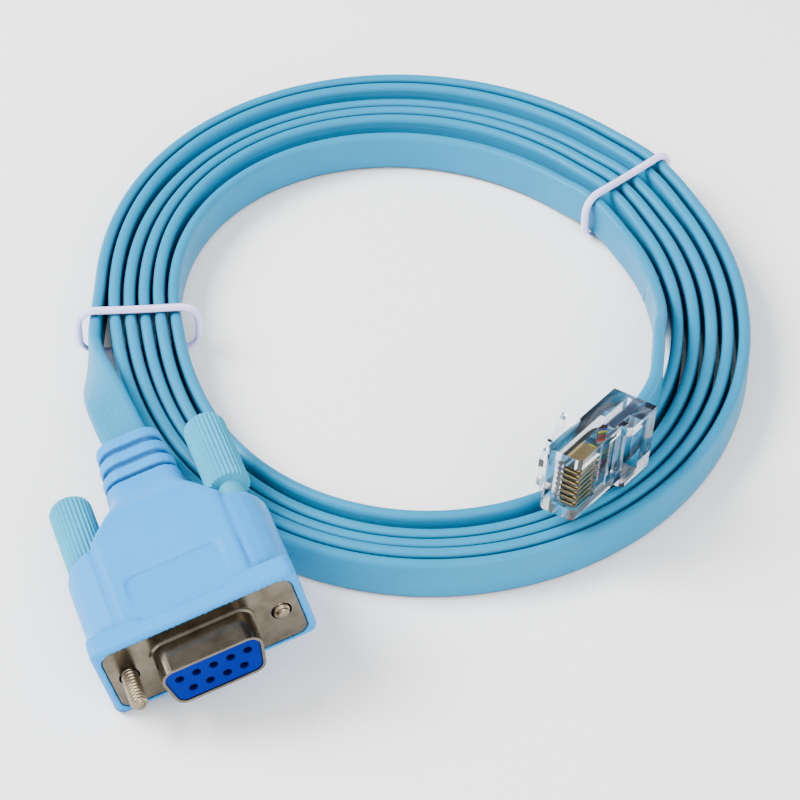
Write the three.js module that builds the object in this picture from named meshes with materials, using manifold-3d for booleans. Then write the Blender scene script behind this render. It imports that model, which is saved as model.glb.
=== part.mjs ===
// A flat eight-core console cable, coiled and tied: a moulded nine-way connector with two thumbscrews
// on one end and a clear eight-way modular plug on the other. Millimetres, +Z up, lying on Z = 0.
import * as THREE from 'three';
import { mergeVertices } from 'three/addons/utils/BufferGeometryUtils.js';
import Module from 'manifold-3d';

const wasm = await Module();
wasm.setup();

const rad = THREE.MathUtils.degToRad;
const vec = (x, y, z) => new THREE.Vector3(x, y, z);

// Clearances
const FIT = 0.12;             // a part in its close seat
const GAP = 0.3;              // neighbours that only lie against each other
const RUN = 0.25;             // a part that slides or turns in a bore

// Flat cable
const CABLE_WIDTH = 7.6;
const CABLE_THICK = 2.1;
const CABLE_EDGE = 0.95;      // radius of the rounded long edges

// Coil: the outermost turn's middle line is a circle with a slow wave on it, and each turn lies inside the last
const COIL_CENTRE = vec(0, 0, 0);
const COIL_RADIUS = 61.65;
const COIL_WAVES = [[-1.17, 1.49], [-4.88, -1.68], [0.77, 0.24]];   // cosine and sine, one to three waves round
const TURN_PITCH = 2.75;
const PITCH_SKEW = 0.15;      // wider on the right, closer on the left
const FAR_SPREAD = [0, 2.25, 0, -0.45, 3.0];      // more room after each turn on the far side
const NEAR_SPREAD = [-0.5, -0.6, -0.4, 1.2, 0];   // and on the near side
const RING_TURNS = 5;
const RING_STEPS = 64;
const GROOVE_DEPTH = 1.4;
const SEAM_SHARE = 0.0006;     // the ring steps in by one turn over this share of its last turn

// Ties: elastic loops, pressed flat where the coil lies on them
const TIE_THICK = 1.4;
const TIE_UNDER = 0.5;
const TIE_LIFT = TIE_UNDER + GAP;
const TIE_LIFT_ANGLE = 14;    // degrees each side over which the coil rises over a tie
const TIES = [
  { name: 'tie_left', angle: 184, slack: 1.9 },
  { name: 'tie_right', angle: 43, slack: 0.5 },
];

// Connector: its own frame has X across, Y through its thickness, Z out of the mating face
const HOOD_YAW = 18.66;
const HOOD_ROLL = 14.6;       // the right side is carried higher, over the coil
const HOOD_AT = vec(-34.3, -84.2, 0);
const FLANGE = { width: 30.8, height: 12.5, thick: 0.8, corner: 1.8 };
const SCREW_EDGE = 2.9;       // from a screw's middle to the flange's end
const SCREW_SPACING = FLANGE.width - 2 * SCREW_EDGE;
const COLLAR_WIDTH = FLANGE.width + 2.7;
const COLLAR_HEIGHT = FLANGE.height + 2.3;
const COLLAR_DEPTH = 4.6;
const COLLAR_CORNER = 1.4;
const RIM = 0.25;             // collar's rim stands this far in front of the flange
const BODY_HALF = 11.1;       // middle of the hood, between the two bosses
const BODY_HEIGHT = 14.0;
const BODY_CORNER = 1.3;
const BOSS_END = -22.5;
const BOSS_HALF_HEIGHT = 6.6;
const BOSS_OUT = 16.85;
const SHOULDER_END = -31;
const NECK_END = -36.4;
const NECK_HALF = 6.4;
const CUFF_END = -46.6;
const CUFF_HALF = 5.5;
const CUFF_HEIGHT = 6.2;
const RELIEF_RINGS = 3;
const RELIEF_GROOVE = 0.85;
const LABEL = { width: 16, back: -12.6, front: -4.9, corner: 1.5, depth: 0.35 };
const SEAM_DEPTH = 0.45;

// Nine-way connector
const SHELL_WIDTH = 16.3;
const SHELL_HEIGHT = 7.9;
const SHELL_OUT = 6;
const SHELL_WALL = 0.45;
const SHELL_CORNER = 2.1;
const SHELL_SLANT = 10;       // degrees
const BEAD = 0.55;
const PIN_PITCH = 2.77;
const ROW_PITCH = 2.84;
const PIN_ROWS = [5, 4];
const INSERT_FACE = 5.85;
const INSERT_BACK = -6;
const INSERT_REAR_WIDTH = 19;
const INSERT_REAR_HEIGHT = 10;
const HOLE_R = 0.72;
const CONTACT_R = 0.62;
const CONTACT_BORE = 0.48;
const CONTACT_FRONT = 4.9;
const CONTACT_BACK = -8.5;

// Thumbscrews
const ROD_R = 1.42;
const ROD_OUT = 6.2;          // in front of the flange when pushed in
const GRIP_R = 3.55;
const GRIP_LENGTH = 15.5;
const GRIP_ROUND = 1.1;
const FLUTES = 30;
const FLUTE_DEPTH = 0.28;
const NECK_R = 2.05;
const NECK_LENGTH = 7;
const ROD_BACK = 3;           // the rod ends this far inside the grip's back
const SCREWS = [
  { side: 'left', x: -SCREW_SPACING / 2, drawn: 0 },
  { side: 'right', x: SCREW_SPACING / 2, drawn: 5.5 },
];

// Modular plug: X from the latch side to the contact side, Y across the cores, Z from its back to its nose
const PLUG_YAW = -33.5;
const PLUG_PITCH = 9;         // nose up
const PLUG_AT = vec(29.45, -36.2, 13.75);
const PLUG_WIDTH = 11.68;
const PLUG_LENGTH = 21.5;
const PLUG_FRONT_THICK = 6.3;
const PLUG_REAR_THICK = 8;
const PLUG_REAR = 8.6;
const CORES = ['black', 'blue', 'yellow', 'green', 'crimson', 'grey', 'orange', 'white'];
const CORE_PITCH = 1.02;
const CORE_R = 0.45;
const CORE_X = 2.5;
const CORE_BACK = 9.4;
const CORE_FRONT = 20.7;
const BLADE_THICK = 0.34;
const BLADE_BACK = 15.4;
const BLADE_FRONT = 20.9;
const BLADE_TOP = 5.9;
const SLOT_WIDTH = 0.58;
const SLOT_BACK = 15.1;
const WINDOW = { back: 4.2, front: 11.6, half: 4.2 };
const BAR = { back: 6.3, front: 8.2 };
const LATCH_SLOPE = 16.5;     // degrees off the body
const LATCH_THICK = 0.9;
const LATCH_ROOT = 21.3;
const LATCH_SHOULDER = 15.6;
const LATCH_TIP = 5.9;
const LATCH_WIDE = 6;
const LATCH_TAB = 3.2;

// Cord's uncoiled ends, by hand: x, y, z and the turn of the flat section from upright in degrees
const LEAD_ROUTE = [
  [-49.35, -40.6, 11.05, 75.4], [-51.6, -34.0, 10.9, 72], [-53.8, -27.6, 10.0, 60],
  [-55.6, -21.4, 8.2, 40], [-56.8, -15.4, 6.1, 18], [-57.4, -9.6, 4.9, 2], [-57.5, -4.8, 4.65, 0],
  [-57.2, -0.3, 4.5, 0],
];
const TAIL_ROUTE = [
  [40.2, 0, 5.6, 0], [39.9, -7.5, 8.4, 0], [38.9, -15, 11.3, 0],
  [38.3, -21.5, 12.4, 0], [36.9, -29.5, 12.9, 0],
];

const mesh = (name, geometry, color, roughness, metalness = 0) => {
  const made = new THREE.Mesh(geometry, new THREE.MeshStandardMaterial({ color, roughness, metalness }));
  made.name = name;
  return made;
};

// Booleans
const bare = (geometry) => {
  const copy = geometry.clone();
  copy.deleteAttribute('normal');
  copy.deleteAttribute('uv');
  return mergeVertices(copy, 1e-5);
};
const solid = (geometry) => {
  const closed = bare(geometry);
  return new wasm.Manifold(new wasm.Mesh({
    numProp: 3,
    vertProperties: new Float32Array(closed.attributes.position.array),
    triVerts: new Uint32Array(closed.index.array),
  }));
};
const toGeometry = (manifold) => {
  const { vertProperties, triVerts, numProp } = manifold.getMesh();
  const points = new Float32Array((vertProperties.length / numProp) * 3);
  for (let i = 0; i < points.length / 3; i += 1) {
    points.set(vertProperties.subarray(i * numProp, i * numProp + 3), i * 3);
  }
  const geometry = new THREE.BufferGeometry();
  geometry.setAttribute('position', new THREE.BufferAttribute(points, 3));
  geometry.setIndex(new THREE.BufferAttribute(new Uint32Array(triVerts), 1));
  geometry.computeVertexNormals();
  return geometry;
};
const joined = (first, ...rest) => rest.reduce((all, next) => all.add(next), first);
const cut = (first, ...tools) => tools.reduce((left, tool) => left.subtract(tool), first);

// Plain solids
const box = (x0, x1, y0, y1, z0, z1) => solid(new THREE.BoxGeometry(x1 - x0, y1 - y0, z1 - z0)
  .translate((x0 + x1) / 2, (y0 + y1) / 2, (z0 + z1) / 2));
const rod = (r, x, y, z0, z1, sides = 24) => solid(new THREE.CylinderGeometry(r, r, z1 - z0, sides)
  .rotateX(Math.PI / 2).translate(x, y, (z0 + z1) / 2));
const extruded = (shape, z0, z1, curveSegments = 4) => solid(
  new THREE.ExtrudeGeometry(shape, { depth: z1 - z0, bevelEnabled: false, curveSegments }).translate(0, 0, z0),
);
const roundedRect = (width, height, r) => {
  const [x, y] = [width / 2, height / 2];
  const shape = new THREE.Shape();
  shape.moveTo(-x + r, -y).lineTo(x - r, -y).absarc(x - r, -y + r, r, -Math.PI / 2, 0);
  shape.lineTo(x, y - r).absarc(x - r, y - r, r, 0, Math.PI / 2);
  shape.lineTo(-x + r, y).absarc(-x + r, y - r, r, Math.PI / 2, Math.PI);
  shape.lineTo(-x, -y + r).absarc(-x + r, -y + r, r, Math.PI, Math.PI * 1.5);
  return shape;
};

// A solid through a row of stations: each gives its middle, two cross directions and its section's points.
// The first cross direction, the second and the way along make a right-handed set.
const lofted = (stations) => {
  const sides = stations[0].section.length;
  const last = stations.length - 1;
  const geometry = new THREE.CylinderGeometry(1, 1, 1, sides, last);
  const at = geometry.attributes.position;
  for (let i = 0; i < at.count; i += 1) {
    const { middle, across, up, section } = stations[Math.round((at.getY(i) + 0.5) * last)];
    const onRim = Math.hypot(at.getX(i), at.getZ(i)) > 0.5;
    const turn = Math.atan2(at.getX(i), at.getZ(i)) / (2 * Math.PI);
    const [a, b] = onRim ? section[(Math.round(turn * sides) + sides) % sides] : [0, 0];
    const point = middle.clone().addScaledVector(across, a).addScaledVector(up, b);
    at.setXYZ(i, point.x, point.y, point.z);
  }
  return geometry;
};

// Points of a rounded rectangle, counter-clockwise, each corner with the same few points
const rectPoints = (halfA, halfB, r, perCorner) => {
  const points = [];
  for (let corner = 0; corner < 4; corner += 1) {
    const signA = corner === 0 || corner === 3 ? 1 : -1;
    const signB = corner < 2 ? 1 : -1;
    for (let i = 0; i < perCorner; i += 1) {
      const turn = (corner + i / (perCorner - 1)) * (Math.PI / 2);
      points.push([signA * (halfA - r) + r * Math.cos(turn), signB * (halfB - r) + r * Math.sin(turn)]);
    }
  }
  return points;
};

// Coil
const coilLine = (theta) => COIL_WAVES.reduce(
  (r, [c, s], i) => r + c * Math.cos((i + 1) * theta) + s * Math.sin((i + 1) * theta),
  COIL_RADIUS,
);
// Middle line's radius of a turn at an angle; share is how much of the turn is wound, from the left side on
const turnRadius = (turn, theta, share) => {
  const pitch = TURN_PITCH + PITCH_SKEW * Math.cos(theta);
  const far = Math.max(0, Math.sin(theta)) ** 2;
  const near = Math.max(0, -Math.sin(theta)) ** 2;
  let r = coilLine(theta) - pitch * (turn + share);
  for (let i = 0; i < turn; i += 1) r -= FAR_SPREAD[i] * far + NEAR_SPREAD[i] * near;
  return r;
};
const tieLift = (theta) => TIES.reduce((lift, { angle }) => {
  const off = Math.abs(THREE.MathUtils.euclideanModulo(THREE.MathUtils.radToDeg(theta) - angle + 180, 360) - 180);
  return lift + (off < TIE_LIFT_ANGLE ? (TIE_LIFT / 2) * (1 + Math.cos((Math.PI * off) / TIE_LIFT_ANGLE)) : 0);
}, 0);
const onCoil = (r, theta, z) => vec(
  COIL_CENTRE.x + r * Math.cos(theta),
  COIL_CENTRE.y + r * Math.sin(theta),
  z + tieLift(theta),
);

// The ring is turned in steps of whole turns across and millimetres up, then laid on the turns' real radii
const ringGeometry = () => {
  const turnStep = 10;
  const middle = 100;
  const profile = [];
  const add = (turns, z) => profile.push(new THREE.Vector2(middle - turns * turnStep, z));
  add(0, CABLE_EDGE);
  add(0, CABLE_WIDTH - CABLE_EDGE);
  for (let turn = 0; turn < RING_TURNS; turn += 1) {
    add(turn + 0.25, CABLE_WIDTH);
    add(turn + 0.75, CABLE_WIDTH);
    if (turn < RING_TURNS - 1) add(turn + 1, CABLE_WIDTH - GROOVE_DEPTH);
  }
  add(RING_TURNS, CABLE_WIDTH - CABLE_EDGE);
  add(RING_TURNS, CABLE_EDGE);
  for (let turn = RING_TURNS - 1; turn >= 0; turn -= 1) {
    add(turn + 0.75, 0);
    add(turn + 0.25, 0);
    if (turn > 0) add(turn, GROOVE_DEPTH);
  }
  profile.push(profile[0].clone());
  const geometry = new THREE.LatheGeometry(profile, RING_STEPS);
  const at = geometry.attributes.position;
  for (let i = 0; i < at.count; i += 1) {
    const wound = THREE.MathUtils.euclideanModulo(-Math.atan2(at.getX(i), at.getZ(i)) / (2 * Math.PI), 1);
    const column = Math.round(wound * RING_STEPS) % RING_STEPS;
    const share = column === RING_STEPS - 1 ? 1 - SEAM_SHARE : column / (RING_STEPS - 1);
    const theta = Math.PI - share * 2 * Math.PI;
    const turns = (middle - Math.hypot(at.getX(i), at.getZ(i))) / turnStep;
    const turn = Math.min(RING_TURNS - 1, Math.floor(turns + 1e-4));
    const part = turns - turn;
    let r = turnRadius(turn, theta, share) + CABLE_THICK * (0.5 - part);
    if (part < 1e-3 && turn > 0) {
      const outer = turnRadius(turn - 1, theta, share) - CABLE_THICK / 2;
      r = (outer + r) / 2;
    }
    const point = onCoil(r, theta, at.getY(i));
    at.setXYZ(i, point.x, point.y, point.z);
  }
  return geometry;
};

// A stretch of flat cable along points that carry their own turn from upright
const CABLE_SECTION = rectPoints(CABLE_WIDTH / 2, CABLE_THICK / 2, CABLE_EDGE, 3);
const cableGeometry = (points, turns, steps, ends = [null, null]) => {
  const curve = new THREE.CatmullRomCurve3(points, false, 'centripetal');
  const stations = [];
  for (let i = 0; i <= steps; i += 1) {
    const u = i / steps;
    const along = curve.getTangent(u);
    if (i === 0 && ends[0]) along.copy(ends[0]);
    if (i === steps && ends[1]) along.copy(ends[1]);
    const at = u * (turns.length - 1);
    const k = Math.min(turns.length - 2, Math.floor(at));
    const turn = rad(THREE.MathUtils.lerp(turns[k], turns[k + 1], at - k));
    const level = vec(along.y, -along.x, 0).normalize();
    const upright = level.clone().cross(along);
    const across = upright.multiplyScalar(Math.cos(turn)).addScaledVector(level, Math.sin(turn));
    stations.push({
      middle: curve.getPoint(u), across, up: along.clone().cross(across), section: CABLE_SECTION,
    });
  }
  return lofted(stations);
};

// A tie: a loop round the coil's section, in the upright plane through the coil's middle
const tieGeometry = (angle, slack) => {
  const theta = rad(angle - 0.001);
  const outside = turnRadius(0, theta, (180 - angle) / 360) + CABLE_THICK / 2 + slack;
  const inside = turnRadius(RING_TURNS, theta, (180 - angle) / 360) - CABLE_THICK / 2 - slack;
  const halfWidth = (outside - inside) / 2 + TIE_THICK / 2 + GAP;
  const top = CABLE_WIDTH + TIE_LIFT + GAP + TIE_THICK / 2;
  const bottom = TIE_UNDER / 2;
  const loop = rectPoints(halfWidth, (top - bottom) / 2, 3.2, 5);
  const out = vec(Math.cos(theta), Math.sin(theta), 0);
  const along = vec(-Math.sin(theta), Math.cos(theta), 0);
  const centre = COIL_CENTRE.clone().addScaledVector(out, (outside + inside) / 2).setZ((top + bottom) / 2);
  const curve = new THREE.CatmullRomCurve3(
    loop.map(([a, b]) => centre.clone().addScaledVector(out, a).setZ(centre.z + b)), true, 'centripetal');
  const steps = 40;
  const sides = 8;
  const geometry = new THREE.TorusGeometry(2, 1, sides, steps);
  const at = geometry.attributes.position;
  const uv = geometry.attributes.uv;
  for (let i = 0; i < at.count; i += 1) {
    const u = THREE.MathUtils.euclideanModulo(uv.getX(i), 1);
    const turn = uv.getY(i) * 2 * Math.PI;
    const middle = curve.getPoint(u);
    middle.z = Math.max(middle.z, bottom);
    const way = curve.getTangent(u);
    const outward = along.clone().cross(way).negate();
    const low = THREE.MathUtils.smoothstep(CABLE_WIDTH / 2 - middle.z, 0, CABLE_WIDTH / 2 - bottom);
    const thin = THREE.MathUtils.lerp(TIE_THICK, TIE_UNDER, low) / 2;
    middle.addScaledVector(outward, thin * Math.cos(turn)).addScaledVector(along, (TIE_THICK / 2) * Math.sin(turn));
    at.setXYZ(i, middle.x, middle.y, Math.max(middle.z, 0));
  }
  return geometry;
};

// Hood
const hoodStations = () => {
  const upAxis = vec(0, 1, 0);
  const side = vec(1, 0, 0);
  const profile = [];
  const add = (z, halfWidth, halfHeight, corner) => profile.push({
    middle: vec(0, 0, z), across: side, up: upAxis, section: rectPoints(halfWidth, halfHeight, corner, 5),
  });
  const halfHeight = BODY_HEIGHT / 2;
  const cuffHalf = CUFF_HEIGHT / 2;
  const cuffCorner = cuffHalf * 0.98;
  const reliefStep = (NECK_END - CUFF_END) / RELIEF_RINGS;
  add(CUFF_END, CUFF_HALF - 0.5, cuffHalf - 0.5, cuffCorner - 0.5);
  for (let ring = 0; ring < RELIEF_RINGS; ring += 1) {
    const z = CUFF_END + ring * reliefStep;
    const half = THREE.MathUtils.lerp(CUFF_HALF, NECK_HALF, (ring + 0.5) / RELIEF_RINGS);
    add(z + reliefStep * 0.14, half, cuffHalf, cuffCorner);
    add(z + reliefStep * 0.72, half, cuffHalf, cuffCorner);
    add(z + reliefStep * 0.84, half - RELIEF_GROOVE, cuffHalf - RELIEF_GROOVE, cuffCorner - RELIEF_GROOVE);
    add(z + reliefStep * 0.97, half - RELIEF_GROOVE, cuffHalf - RELIEF_GROOVE, cuffCorner - RELIEF_GROOVE);
  }
  const shoulderSteps = 6;
  for (let i = 0; i <= shoulderSteps; i += 1) {
    const t = i / shoulderSteps;
    const z = THREE.MathUtils.lerp(NECK_END, BOSS_END, t);
    const flare = Math.max(0, (z - SHOULDER_END) / (BOSS_END - SHOULDER_END));
    const halfWidth = NECK_HALF + (BODY_HALF - NECK_HALF) * flare ** 1.5;
    const rise = THREE.MathUtils.smoothstep(t, 0, 0.85);
    add(z, halfWidth, THREE.MathUtils.lerp(cuffHalf, halfHeight, rise),
      THREE.MathUtils.lerp(cuffCorner, BODY_CORNER, rise));
  }
  add(-COLLAR_DEPTH / 2, BODY_HALF, halfHeight, BODY_CORNER);
  return profile;
};

const bossSolid = (side) => {
  const steps = 5;
  const round = 4.2;
  const stations = [];
  for (let i = 0; i <= steps; i += 1) {
    const turn = (i / steps) * (Math.PI / 2);
    const tuck = round * (1 - Math.sin(turn));
    stations.push([BOSS_END + round * 0.45 * (1 - Math.cos(turn)), tuck]);
  }
  stations.push([-COLLAR_DEPTH / 2, 0]);
  const inner = BODY_HALF - 1.5;
  return solid(lofted(stations.map(([z, tuck]) => {
    const reach = BOSS_OUT - inner - tuck * 0.8;
    const section = [];
    const points = 12;
    for (let k = 0; k <= points; k += 1) {
      const turn = -Math.PI / 2 + (k / points) * Math.PI;
      section.push([reach * Math.cos(turn) ** 0.8, (BOSS_HALF_HEIGHT - tuck * 0.35) * Math.sin(turn)]);
    }
    const flipped = section.map(([a, b]) => [-a, b]).reverse();
    return {
      middle: vec(side * inner, 0, z), across: vec(1, 0, 0), up: vec(0, 1, 0),
      section: side > 0 ? section : flipped,
    };
  })));
};

const hoodGeometry = () => {
  const middle = solid(lofted(hoodStations()));
  const collarBack = solid(new THREE.ExtrudeGeometry(
    roundedRect(COLLAR_WIDTH - 1.2, COLLAR_HEIGHT - 1.2, COLLAR_CORNER - 0.6),
    { depth: COLLAR_DEPTH - 1.2, bevelThickness: 0.6, bevelSize: 0.6, bevelSegments: 1, curveSegments: 3 },
  ).translate(0, 0, RIM - COLLAR_DEPTH + 0.6));
  const seat = extruded(roundedRect(FLANGE.width + 2 * FIT, FLANGE.height + 2 * FIT, FLANGE.corner + FIT),
    -FLANGE.thick - FIT, RIM + 1);
  const well = box(-(INSERT_REAR_WIDTH / 2 + FIT), INSERT_REAR_WIDTH / 2 + FIT,
    -(INSERT_REAR_HEIGHT / 2 + FIT), INSERT_REAR_HEIGHT / 2 + FIT, CONTACT_BACK - GAP, 1);
  const bores = SCREWS.flatMap(({ x }) => [
    rod(ROD_R + RUN, x, 0, BOSS_END - 2, 1),
    rod(NECK_R + RUN, x, 0, BOSS_END - 2, BOSS_END + NECK_LENGTH + GAP),
    rod(GRIP_R + 2 * RUN, x, 0, CUFF_END, BOSS_END, 32),
  ]);
  const top = BODY_HEIGHT / 2;
  const slope = Math.atan2(LABEL.depth, LABEL.front - LABEL.back);
  const labelLength = LABEL.front - LABEL.back;
  const label = solid(new THREE.ExtrudeGeometry(roundedRect(LABEL.width, labelLength * 1.3, LABEL.corner),
    { depth: 2, bevelEnabled: false, curveSegments: 4 })
    .translate(0, labelLength * 0.65, 0).rotateX(-Math.PI / 2).rotateY(Math.PI)
    .rotateX(-slope).translate(0, top - LABEL.depth, LABEL.back));
  const seams = [-1, 1].map((side) => box(
    side * BODY_HALF - SEAM_DEPTH / 2, side * BODY_HALF + SEAM_DEPTH / 2,
    BOSS_HALF_HEIGHT - SEAM_DEPTH * 1.6, COLLAR_HEIGHT, BOSS_END - 1, RIM - COLLAR_DEPTH - 0.6,
  ));
  return toGeometry(cut(joined(middle, bossSolid(-1), bossSolid(1), collarBack),
    seat, well, label, ...seams, ...bores));
};

// D-shaped outline, wider at the top, grown or shrunk by an offset
const dShape = (offset) => {
  const r = SHELL_CORNER + offset;
  const y = SHELL_HEIGHT / 2 - SHELL_CORNER;
  const slant = Math.tan(rad(SHELL_SLANT)) * y;
  const x = SHELL_WIDTH / 2 - SHELL_CORNER;
  const lean = rad(SHELL_SLANT);
  const shape = new THREE.Shape();
  shape.absarc(x - 2 * slant, -y, r, -Math.PI / 2, -lean);
  shape.absarc(x, y, r, -lean, Math.PI / 2);
  shape.absarc(-x, y, r, Math.PI / 2, Math.PI + lean);
  shape.absarc(-x + 2 * slant, -y, r, Math.PI + lean, Math.PI * 1.5);
  return shape;
};

const shellGeometry = () => {
  const plate = extruded(roundedRect(FLANGE.width, FLANGE.height, FLANGE.corner), -FLANGE.thick, 0);
  const wall = extruded(dShape(0), -FLANGE.thick / 2, SHELL_OUT);
  const bead = solid(new THREE.ExtrudeGeometry(dShape(0), {
    depth: 0.05, bevelThickness: BEAD, bevelSize: BEAD, bevelSegments: 2, curveSegments: 4,
  }).translate(0, 0, -BEAD * 0.4));
  const beadAbove = bead.intersect(box(-SHELL_WIDTH, SHELL_WIDTH, -SHELL_HEIGHT, SHELL_HEIGHT, -FLANGE.thick / 2, BEAD));
  const inside = extruded(dShape(-SHELL_WALL), -FLANGE.thick - 1, SHELL_OUT + 1);
  const holes = SCREWS.map(({ x }) => rod(ROD_R + RUN, x, 0, -FLANGE.thick - 1, 1));
  return toGeometry(cut(joined(plate, wall, beadAbove), inside, ...holes));
};

const pins = PIN_ROWS.flatMap((count, row) => Array.from({ length: count }, (_, i) => ({
  x: (i - (count - 1) / 2) * PIN_PITCH,
  y: (0.5 - row) * ROW_PITCH,
})));

const insertGeometry = () => {
  const front = extruded(dShape(-SHELL_WALL - FIT), -FLANGE.thick - 1, INSERT_FACE);
  const rear = box(-INSERT_REAR_WIDTH / 2, INSERT_REAR_WIDTH / 2,
    -INSERT_REAR_HEIGHT / 2, INSERT_REAR_HEIGHT / 2, INSERT_BACK, -FLANGE.thick - FIT);
  const holes = pins.map(({ x, y }) => rod(HOLE_R, x, y, INSERT_BACK - 1, INSERT_FACE + 1, 16));
  return toGeometry(cut(joined(front, rear), ...holes));
};

const contactGeometry = () => new THREE.LatheGeometry([
  [0, CONTACT_BACK], [CONTACT_R, CONTACT_BACK], [CONTACT_R, CONTACT_FRONT],
  [CONTACT_BORE, CONTACT_FRONT], [CONTACT_BORE, CONTACT_FRONT - 4], [0, CONTACT_FRONT - 4],
].map(([r, z]) => new THREE.Vector2(r, z)), 12).rotateX(Math.PI / 2);

// Thumbscrews
const rodGeometry = ({ drawn }) => {
  const tip = ROD_OUT - drawn;
  const back = BOSS_END - GAP - GRIP_LENGTH + ROD_BACK - drawn;
  const chamfer = 0.4;
  return new THREE.LatheGeometry([
    [0, back], [ROD_R, back], [ROD_R, tip - chamfer], [ROD_R - chamfer, tip], [0, tip],
  ].map(([r, z]) => new THREE.Vector2(r, z)), 20).rotateX(Math.PI / 2);
};

const gripGeometry = ({ drawn }) => {
  const front = BOSS_END - GAP - drawn;
  const back = front - GRIP_LENGTH;
  const fluted = (grow) => Array.from({ length: FLUTES * 2 }, (_, i) => {
    const r = GRIP_R + grow - (i % 2 ? FLUTE_DEPTH : 0);
    const turn = (i / (FLUTES * 2)) * 2 * Math.PI;
    return [r * Math.cos(turn), r * Math.sin(turn)];
  });
  const rings = [[back, -GRIP_ROUND], [back + GRIP_ROUND * 0.3, -GRIP_ROUND * 0.3], [back + GRIP_ROUND, 0], [front, 0]];
  const body = solid(lofted(rings.map(([z, grow]) => ({
    middle: vec(0, 0, z), across: vec(1, 0, 0), up: vec(0, 1, 0), section: fluted(grow),
  }))));
  const neck = rod(NECK_R, 0, 0, front - 1, front + NECK_LENGTH);
  const bore = rod(ROD_R + RUN, 0, 0, back + ROD_BACK - GAP, front + NECK_LENGTH + 1, 20);
  return toGeometry(cut(joined(body, neck), bore));
};

// Modular plug
const coreY = (i) => ((CORES.length - 1) / 2 - i) * CORE_PITCH;
const plugGeometry = () => {
  const y = PLUG_WIDTH / 2;
  const outline = new THREE.Shape([
    [0, 0], [PLUG_REAR_THICK, 0], [PLUG_REAR_THICK, PLUG_REAR - 0.7], [PLUG_REAR_THICK - 0.7, PLUG_REAR],
    [PLUG_FRONT_THICK, PLUG_REAR], [PLUG_FRONT_THICK, PLUG_LENGTH - 0.6], [PLUG_FRONT_THICK - 0.6, PLUG_LENGTH],
    [0.6, PLUG_LENGTH], [0, PLUG_LENGTH - 0.6],
  ].map(([x, z]) => new THREE.Vector2(x, -z)));
  const block = solid(new THREE.ExtrudeGeometry(outline, { depth: PLUG_WIDTH, bevelEnabled: false })
    .rotateX(-Math.PI / 2).translate(0, -y, 0));
  const cableX = PLUG_REAR_THICK / 2;
  const throat = box(cableX - CABLE_THICK / 2 - GAP, cableX + CABLE_THICK / 2 + GAP,
    -CABLE_WIDTH / 2 - GAP, CABLE_WIDTH / 2 + GAP, -1, CORE_BACK - GAP);
  const trough = box(CORE_X - CORE_R - GAP, CORE_X + CORE_R + GAP,
    coreY(CORES.length - 1) - CORE_R - GAP, coreY(0) + CORE_R + GAP, CORE_BACK - 2, CORE_FRONT + GAP);
  const windowCut = box(cableX + CABLE_THICK / 2 + GAP - 0.01, PLUG_REAR_THICK + 1,
    -WINDOW.half, WINDOW.half, WINDOW.back, WINDOW.front);
  const bar = box(cableX + CABLE_THICK / 2 + GAP, PLUG_FRONT_THICK,
    -WINDOW.half - 0.5, WINDOW.half + 0.5, BAR.back, BAR.front);
  const slots = CORES.map((_, i) => box(CORE_X + CORE_R + GAP / 2, PLUG_FRONT_THICK + 1,
    coreY(i) - SLOT_WIDTH / 2, coreY(i) + SLOT_WIDTH / 2, SLOT_BACK, PLUG_LENGTH + 1));
  return toGeometry(cut(cut(block, windowCut).add(bar), throat, trough, ...slots));
};

const bladeGeometry = (i) => new THREE.BoxGeometry(BLADE_TOP - CORE_X - CORE_R - GAP, BLADE_THICK, BLADE_FRONT - BLADE_BACK)
  .translate((BLADE_TOP + CORE_X + CORE_R + GAP) / 2, coreY(i), (BLADE_FRONT + BLADE_BACK) / 2);
const coreGeometry = (i) => new THREE.CylinderGeometry(CORE_R, CORE_R, CORE_FRONT - CORE_BACK, 10)
  .rotateX(Math.PI / 2).translate(CORE_X, coreY(i), (CORE_FRONT + CORE_BACK) / 2);

const latchGeometry = () => {
  const strip = (z0, z1, width) => {
    const x = (z) => -GAP - (LATCH_ROOT - z) * Math.tan(rad(LATCH_SLOPE));
    const shape = new THREE.Shape([[x(z0), z0], [x(z1), z1], [x(z1) - LATCH_THICK, z1], [x(z0) - LATCH_THICK, z0]]
      .map(([a, z]) => new THREE.Vector2(a, -z)));
    return solid(new THREE.ExtrudeGeometry(shape, { depth: width, bevelEnabled: false })
      .rotateX(-Math.PI / 2).translate(0, -width / 2, 0));
  };
  return toGeometry(joined(strip(LATCH_SHOULDER, LATCH_ROOT, LATCH_WIDE), strip(LATCH_TIP, LATCH_SHOULDER + 1, LATCH_TAB)));
};

// A group whose Z lies level along a yaw, nose pitched up, then rolled about itself
const placed = (yaw, pitch, roll, at) => {
  const along = vec(Math.sin(rad(yaw)), -Math.cos(rad(yaw)), 0);
  const x = vec(Math.cos(rad(yaw)), Math.sin(rad(yaw)), 0);
  const z = along.clone().multiplyScalar(Math.cos(rad(pitch))).setZ(Math.sin(rad(pitch)));
  const y = z.clone().cross(x);
  const group = new THREE.Group();
  group.quaternion.setFromRotationMatrix(new THREE.Matrix4().makeBasis(x, y, z));
  group.rotateZ(rad(roll));
  group.position.copy(at);
  group.updateMatrixWorld(true);
  return group;
};

const BLUE_PVC = 0x86c3e6;
const CABLE_BLUE = 0x8ec6da;
const STEEL = 0xa89f93;
const GOLD = 0xd9a93f;

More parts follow.
